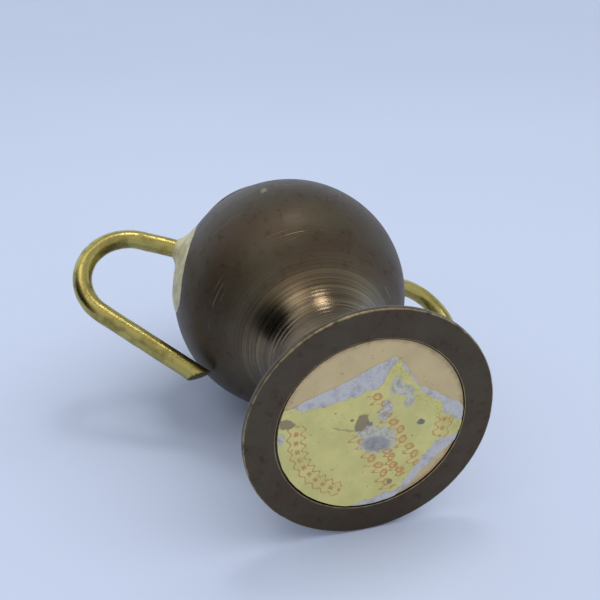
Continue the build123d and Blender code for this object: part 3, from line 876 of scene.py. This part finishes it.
class UrnFlowSolder(bpy.types.Operator):
    """Flow solder over the belly round the root of each handle"""
    bl_idname = "brass_urn.flow_solder"
    bl_label = "Flow solder"

    def execute(self, context):
        scene = context.scene
        body, handle, solder = scene.urn_body, scene.urn_handle, scene.urn_solder
        material = dull_solder("dull_solder", scene.urn_colours)
        for name, side, swing, seed in (("left", -1, handle.swing_left, 2.0),
                                        ("right", 1, handle.swing_right, 5.0)):
            frame_matrix = loop_frame(scene, side, swing)
            bm = bmesh.new()
            centre = bm.verts.new((0, 0, 0))
            steps = 26
            spoke = [centre] + [bm.verts.new((step / steps, 0, 0)) for step in range(1, steps + 1)]
            edges = [bm.edges.new(pair) for pair in zip(spoke, spoke[1:])]
            bmesh.ops.spin(bm, geom=spoke + edges, cent=(0, 0, 0), axis=(0, 0, 1), angle=2 * pi,
                           steps=112, use_merge=True, use_duplicate=False)
            bmesh.ops.remove_doubles(bm, verts=bm.verts[:], dist=1e-5)
            belly = Vector((0, 0, body.belly_height))
            out = Vector((cos(handle.lift), sin(handle.lift), 0))
            lift = {}
            for vert in bm.verts:
                share = Vector((vert.co.x, vert.co.y)).length
                bearing = atan2(vert.co.y, vert.co.x)
                ragged = 1 + 0.22 * noise.noise(Vector((cos(bearing), sin(bearing), seed)) * 0.9)
                ragged += 0.03 * noise.noise(Vector((cos(bearing), sin(bearing), seed)) * 4.0)
                local = Vector((0, vert.co.x * solder.length / 2 * ragged + solder.drop,
                                vert.co.y * solder.width / 2 * ragged))
                height = solder.thickness * (1 - share ** 5) - 0.05 * share ** 8
                height += 0.06 * noise.noise(local * 0.6 + Vector((seed, 0, 0))) * (1 - share ** 3)
                from_wire = (local - out * local.dot(out)).length - handle.wire_radius
                fillet = solder.fillet * pow(2.718, -max(0.0, from_wire) / 0.75)
                lift[vert] = max(-0.05, height) + fillet
                direction = (frame_matrix @ local - belly).normalized()
                vert.co = belly + direction * body.belly_radius
            skin = bm.faces[:]
            made = bmesh.ops.extrude_face_region(bm, geom=skin, use_keep_orig=True)["geom"]
            top = {item for item in made if isinstance(item, bmesh.types.BMVert)}
            for vert in bm.verts:
                if vert not in top:
                    amount = lift[vert]
                    vert.co += (vert.co - belly).normalized() * amount
            for vert in top:
                vert.co += (vert.co - belly).normalized() * -0.25
            bmesh.ops.recalc_face_normals(bm, faces=bm.faces[:])
            finish_piece(context, f"solder_{name}", bm, material, "urn", "solder",
                         f"solder_pad_{name}")
        return {"FINISHED"}


CORE_OUTLINE = (
    (-12, 0.4), (-0.6, -9.0), (1.2, -8.2), (3.6, -6.0), (9.4, -4.7), (12, -3.0),
    (11.2, 0.4), (9.0, 4.0), (7.6, 7.4), (4.6, 12), (-12, 12))
FACE_OUTLINE = (
    (-12, -0.4), (-8.5, -1.2), (-4.3, -3.0), (-1.1, -5.0), (-0.8, -7.8), (0.2, -8.9), (1.3, -7.8),
    (4.4, -5.1), (7.9, -4.1), (8.3, -2.9), (12, -1.6), (8.8, 0.9), (6.9, 5.4), (6.5, 8.1),
    (2.8, 9.8), (0.4, 12), (-12, 12))
RIM_OUTLINE = ((-12, -12), (12, -12), (12, 12), (-12, 12))


class UrnLayLabel(bpy.types.Operator):
    """Lay the label: a card disc, torn paper over it and the torn printed face"""
    bl_idname = "brass_urn.lay_label"
    bl_label = "Lay label"

    def execute(self, context):
        scene = context.scene
        body, label, colours = scene.urn_body, scene.urn_label, scene.urn_colours
        top = body.recess_depth
        self.sheet(context, "label_card", RIM_OUTLINE, top, label.card, 0.0, 0.03,
                   aged_card("aged_card", colours), "label_card", "label_backing")
        top -= label.card
        self.sheet(context, "label_torn_paper", CORE_OUTLINE, top, label.core, 0.4, 0.05,
                   torn_paper("torn_paper", colours), "label_paper", "label_core")
        top -= label.core
        self.sheet(context, "label_printed_face", FACE_OUTLINE, top, label.face, 1.0, 0.05,
                   printed_face("printed_face", colours), "label_print", "label_face")
        return {"FINISHED"}

    @staticmethod
    def sheet(context, name, outline, top, thickness, raggedness, wander, material, slot, node):
        body, label = context.scene.urn_body, context.scene.urn_label
        limit = body.foot_radius - body.ring_width - label.gap
        low = top - thickness
        bm = bmesh.new()
        corners = [bm.verts.new((x, y, low)) for x, y in outline]
        for pair in zip(corners, corners[1:] + corners[:1]):
            bm.edges.new(pair)
        while coarse := [edge for edge in bm.edges if edge.calc_length() > 0.25]:
            bmesh.ops.subdivide_edges(bm, edges=coarse, cuts=1)
        for vert in bm.verts:
            wide = noise.noise_vector(Vector((vert.co.x, vert.co.y, top)) * 0.8)
            small = noise.noise_vector(Vector((vert.co.x, vert.co.y, top)) * 3.1)
            tear = (wide + small * 0.75) * label.tear * raggedness
            vert.co.x, vert.co.y = vert.co.x + tear.x, vert.co.y + tear.y
            reach = hypot(vert.co.x, vert.co.y)
            uneven = limit + wander * noise.noise(Vector((vert.co.x, vert.co.y, top)) * 0.6)
            if reach > uneven:
                vert.co.x, vert.co.y = vert.co.x * uneven / reach, vert.co.y * uneven / reach
        bmesh.ops.remove_doubles(bm, verts=bm.verts[:], dist=0.03)
        bmesh.ops.translate(bm, vec=(label.shift, 0, 0), verts=bm.verts[:])
        bmesh.ops.triangle_fill(bm, use_beauty=True, use_dissolve=False, edges=bm.edges[:])
        made = bmesh.ops.extrude_face_region(bm, geom=bm.faces[:], use_keep_orig=True)["geom"]
        bmesh.ops.translate(bm, vec=(0, 0, thickness),
                            verts=[item for item in made if isinstance(item, bmesh.types.BMVert)])
        bmesh.ops.recalc_face_normals(bm, faces=bm.faces[:])
        finish_piece(context, name, bm, material, "urn", slot, node)


class UrnTurnLid(bpy.types.Operator):
    """Turn the loose lid and its knob"""
    bl_idname = "brass_urn.turn_lid"
    bl_label = "Turn lid"

    def execute(self, context):
        scene = context.scene
        body, collar, lid = scene.urn_body, scene.urn_collar, scene.urn_lid
        low = cad_size("lid_cap", 0, 2)
        top = cad_size("lid_cap", 1, 2)
        floor = top - lid.dome
        floor_radius = body.neck_radius + collar.lip_overlap + lid.fit_gap
        radius = floor_radius + lid.wall
        shoulder = floor + lid.shoulder
        dome = arc_through((radius, shoulder), ((radius + lid.knob_seat) / 2,
                           shoulder + lid.dome_fullness * (top - shoulder)),
                           (lid.knob_seat, top), 40)
        floor_steps = 12
        inside = [(lid.tenon + (floor_radius - lid.tenon) * step / floor_steps, floor)
                  for step in range(floor_steps + 1)]
        profile = [(lid.tenon, top)] + inside
        profile += [(radius - lid.skirt_edge, low), (radius, low)] + dome
        bm = turn_profile(profile, body.segments, closed=True)
        for ring in ((radius, low), (radius - lid.skirt_edge, low), (radius, shoulder)):
            round_ring(bm, *ring, lid.edge_round)
        worn = ((radius, low, 0.35), (radius, shoulder, 0.35), (radius - lid.skirt_edge, low, 0.3))
        material = turned_brass("lid_patinated_brass", scene.urn_colours, worn)
        finish_piece(context, "turned_lid", bm, material, "lid", "patinated_brass", "lid_cap")

        seat = sqrt(lid.knob_ball ** 2 - lid.knob_neck ** 2)
        ball = top + 2 * lid.neck_height + seat
        tip_seat = ball + sqrt(lid.knob_ball ** 2 - lid.tip_radius ** 2)
        tip = ball + lid.knob_ball + lid.tip_height
        peened = lid.peen_radius - lid.tenon / 2
        profile = [(0, floor - lid.peen_height), (peened, floor - lid.peen_height),
                   (lid.peen_radius, floor), (lid.tenon, floor), (lid.tenon, top),
                   (lid.knob_seat, top), (lid.knob_seat, top + lid.neck_height / 2),
                   (lid.knob_neck, top + lid.neck_height)]
        profile += arc_through((lid.knob_neck, ball - seat), (lid.knob_ball, ball),
                               (lid.tip_radius, tip_seat), 36)
        profile += [(lid.tip_radius / 2, tip), (0, tip)]
        bm = turn_profile(profile, body.segments // 2, closed=False)
        for ring in ((lid.knob_seat, top + lid.neck_height / 2), (lid.tip_radius / 2, tip),
                     (peened, floor - lid.peen_height)):
            round_ring(bm, *ring, lid.edge_round)
        worn = ((lid.knob_ball, ball, 0.9), (lid.tip_radius / 2, tip, 0.5))
        material = turned_brass("knob_patinated_brass", scene.urn_colours, worn)
        finish_piece(context, "turned_knob", bm, material, "lid", "patinated_brass", "lid_knob")
        return {"FINISHED"}


class UrnFinishRivet(bpy.types.Operator):
    """Give the foot's rivet its brass"""
    bl_idname = "brass_urn.finish_rivet"
    bl_label = "Finish rivet"

    def execute(self, context):
        material = rivet_brass("rivet_brass", context.scene.urn_colours)
        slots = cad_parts["foot_rivet"].data.materials
        slots.clear()
        slots.append(material)
        return {"FINISHED"}


CAMERA_PLACE = Vector((-48.74, -46.71, -77.06))
CAMERA_RIGHT = Vector((0.909, -0.304, -0.285)).normalized()
CAMERA_AHEAD = Vector((0.387, 0.362, 0.848))
CAMERA_AHEAD = (CAMERA_AHEAD - CAMERA_RIGHT * CAMERA_AHEAD.dot(CAMERA_RIGHT)).normalized()
CAMERA_UP = CAMERA_RIGHT.cross(CAMERA_AHEAD)
FLOOR_UP = Vector((-0.304, -0.952, 0.045)).normalized()  # the urn lies on its side
FLOOR_POINT = Vector((5.0, 15.7, 33.1))  # where the belly touches the floor


def seen(right, up, back):
    """A direction given as the camera sees it."""
    return (CAMERA_RIGHT * right + CAMERA_UP * up - CAMERA_AHEAD * back).normalized()


DARK_SIDE = seen(-0.88, 0.17, 0.40)


class UrnSetStage(bpy.types.Operator):
    """Set the camera, the pale floor, the soft lights and the room"""
    bl_idname = "brass_urn.set_stage"
    bl_label = "Set stage"

    def execute(self, context):
        scene = context.scene
        stage, body = scene.urn_stage, scene.urn_body
        middle = Vector((0, 0, body.belly_height / 2))

        camera = bpy.data.objects.new("camera", bpy.data.cameras.new("camera"))
        camera.data.lens = stage.lens
        camera.data.clip_start, camera.data.clip_end = 0.005, 20.0
        axes = Matrix((CAMERA_RIGHT, CAMERA_UP, -CAMERA_AHEAD)).transposed().to_4x4()
        camera.matrix_world = Matrix.Translation(CAMERA_PLACE * MM) @ axes
        scene.collection.objects.link(camera)
        scene.camera = camera
        scene.view_settings.view_transform = "Standard"

        cloth = pale_cloth("pale_cloth", scene.urn_colours)
        self.floor(scene, "floor", FLOOR_POINT, FLOOR_UP, cloth)
        level = self.floor(scene, "floor_level", Vector((0, 0, -0.05)), Vector((0, 0, 1)), cloth)
        for sight in ("diffuse", "glossy", "transmission", "shadow"):
            setattr(level, "visible_" + sight, False)  # the camera alone sees this one

        self.card(scene, middle + DARK_SIDE * 200.0, -DARK_SIDE, 110.0)

        day = bpy.data.objects.new("daylight", bpy.data.lights.new("daylight", "SUN"))
        day.data.energy, day.data.angle = stage.daylight, radians(60)
        day.matrix_world = seen(0.55, 0.80, 0.25).to_track_quat("Z", "Y").to_matrix().to_4x4()
        day.visible_glossy = False
        scene.collection.objects.link(day)
        self.light(scene, "overhead", middle, seen(0.05, 0.96, 0.20), 300.0, 76.0, stage.key)
        self.light(scene, "sheen", middle, seen(-0.35, 0.78, 0.52), 300.0, 150.0, stage.sheen)
        fill = self.light(scene, "fill", middle, seen(0.25, 0.40, 0.90), 330.0, 220.0, stage.fill)
        fill.visible_glossy = False
        self.room(scene, stage.sky)
        return {"FINISHED"}

    @staticmethod
    def floor(scene, name, point, normal, material):
        bm = bmesh.new()
        bmesh.ops.create_grid(bm, x_segments=2, y_segments=2, size=scene.urn_stage.floor_size)
        turn = Vector((0, 0, 1)).rotation_difference(normal).to_matrix().to_4x4()
        bmesh.ops.transform(bm, matrix=Matrix.Translation(point) @ turn, verts=bm.verts[:])
        bmesh.ops.scale(bm, vec=(MM, MM, MM), verts=bm.verts[:])
        mesh = bpy.data.meshes.new(name)
        bm.to_mesh(mesh)
        bm.free()
        mesh.materials.append(material)
        made = bpy.data.objects.new(name, mesh)
        scene.collection.objects.link(made)
        return made

    @staticmethod
    def card(scene, middle, facing, radius):
        """A black card beside the camera, which only the polished brass reflects."""
        bm = bmesh.new()
        bmesh.ops.create_circle(bm, cap_ends=True, radius=radius, segments=48)
        turn = facing.to_track_quat("Z", "Y").to_matrix().to_4x4()
        bmesh.ops.transform(bm, matrix=Matrix.Translation(middle) @ turn, verts=bm.verts[:])
        bmesh.ops.scale(bm, vec=(MM, MM, MM), verts=bm.verts[:])
        mesh = bpy.data.meshes.new("dark_card")
        bm.to_mesh(mesh)
        bm.free()
        mesh.materials.append(black_card("black_card"))
        made = bpy.data.objects.new("dark_card", mesh)
        for sight in ("camera", "diffuse", "transmission", "shadow"):
            setattr(made, "visible_" + sight, False)
        scene.collection.objects.link(made)

    @staticmethod
    def light(scene, name, target, direction, distance, width, power):
        lamp = bpy.data.lights.new(name, "AREA")
        lamp.shape, lamp.size, lamp.energy = "DISK", width * MM, power
        lamp.color = (1.0, 0.97, 0.92)
        made = bpy.data.objects.new(name, lamp)
        place = target + direction * distance
        turn = direction.to_track_quat("Z", "Y").to_matrix().to_4x4()
        made.matrix_world = Matrix.Translation(place * MM) @ turn
        scene.collection.objects.link(made)
        return made

    @staticmethod
    def room(scene, brightness):
        """Pale above the floor, dim behind the camera."""
        world = bpy.data.worlds.new("room")
        world.use_nodes = True
        scene.world = world
        tree = world.node_tree
        tree.nodes.clear()
        output = tree.nodes.new("ShaderNodeOutputWorld")
        background = tree.nodes.new("ShaderNodeBackground")
        coordinates = tree.nodes.new("ShaderNodeTexCoord")
        tree.links.new(background.outputs[0], output.inputs["Surface"])
        shade = None
        for direction, stops in (
                (seen(0.0, 0.25, 1.0), ((0.10, (1.0, 1.0, 1.0)), (0.75, (0.74, 0.69, 0.64)))),
                (seen(0.20, 0.85, 0.05), ((0.62, (1.0, 1.0, 1.0)), (0.98, (0.42, 0.42, 0.42)))),
                (FLOOR_UP, ((0.0, (0.70, 0.76, 0.88)), (0.9, (1.0, 1.0, 1.0))))):
            along = tree.nodes.new("ShaderNodeVectorMath")
            along.operation = "DOT_PRODUCT"
            along.inputs[1].default_value = direction
            tree.links.new(coordinates.outputs["Generated"], along.inputs[0])
            ramp = tree.nodes.new("ShaderNodeValToRGB")
            for stop, (position, tone) in zip(ramp.color_ramp.elements, stops):
                stop.position, stop.color = position, (*tone, 1.0)
            tree.links.new(along.outputs["Value"], ramp.inputs[0])
            if shade is None:
                shade = ramp.outputs[0]
            else:
                product = tree.nodes.new("ShaderNodeVectorMath")
                product.operation = "MULTIPLY"
                tree.links.new(shade, product.inputs[0])
                tree.links.new(ramp.outputs[0], product.inputs[1])
                shade = product.outputs[0]
        tint = tree.nodes.new("ShaderNodeVectorMath")
        tint.operation = "MULTIPLY"
        tint.inputs[1].default_value = (0.86, 0.93, 1.0)
        tree.links.new(shade, tint.inputs[0])
        tree.links.new(tint.outputs[0], background.inputs["Color"])
        background.inputs["Strength"].default_value = brightness


OPERATORS = (UrnTurnBowl, UrnTurnFoot, UrnTurnCollar, UrnBendHandles, UrnFlowSolder, UrnLayLabel,
             UrnTurnLid, UrnFinishRivet, UrnSetStage)


class UrnPanel(bpy.types.Panel):
    """Lists the steps that make the urn"""
    bl_idname = "VIEW3D_PT_brass_urn"
    bl_label = "Brass urn"
    bl_space_type = "VIEW_3D"
    bl_region_type = "UI"
    bl_category = "Urn"

    def draw(self, context):
        for operator in OPERATORS:
            self.layout.operator(operator.bl_idname)
        for name in SETTINGS:
            box = self.layout.box()
            group = getattr(context.scene, name)
            for setting in group.bl_rna.properties.keys():
                if setting not in ("rna_type", "name"):
                    box.prop(group, setting)


SETTINGS = {
    "urn_body": UrnBodySizes, "urn_collar": UrnCollarSizes, "urn_handle": UrnHandleSizes,
    "urn_solder": UrnSolderSizes, "urn_label": UrnLabelSizes, "urn_lid": UrnLidSizes,
    "urn_colours": UrnColours, "urn_stage": UrnStage,
}


def register():
    for made in (*SETTINGS.values(), *OPERATORS, UrnPanel):
        bpy.utils.register_class(made)
    for name, group in SETTINGS.items():
        setattr(bpy.types.Scene, name, PointerProperty(type=group))


def unregister():
    for name in SETTINGS:
        delattr(bpy.types.Scene, name)
    for made in (UrnPanel, *reversed(OPERATORS), *reversed(tuple(SETTINGS.values()))):
        bpy.utils.unregister_class(made)


def main():
    register()
    for operator in OPERATORS:
        group, name = operator.bl_idname.split(".")
        getattr(getattr(bpy.ops, group), name)()


if __name__ == "__main__":
    main()
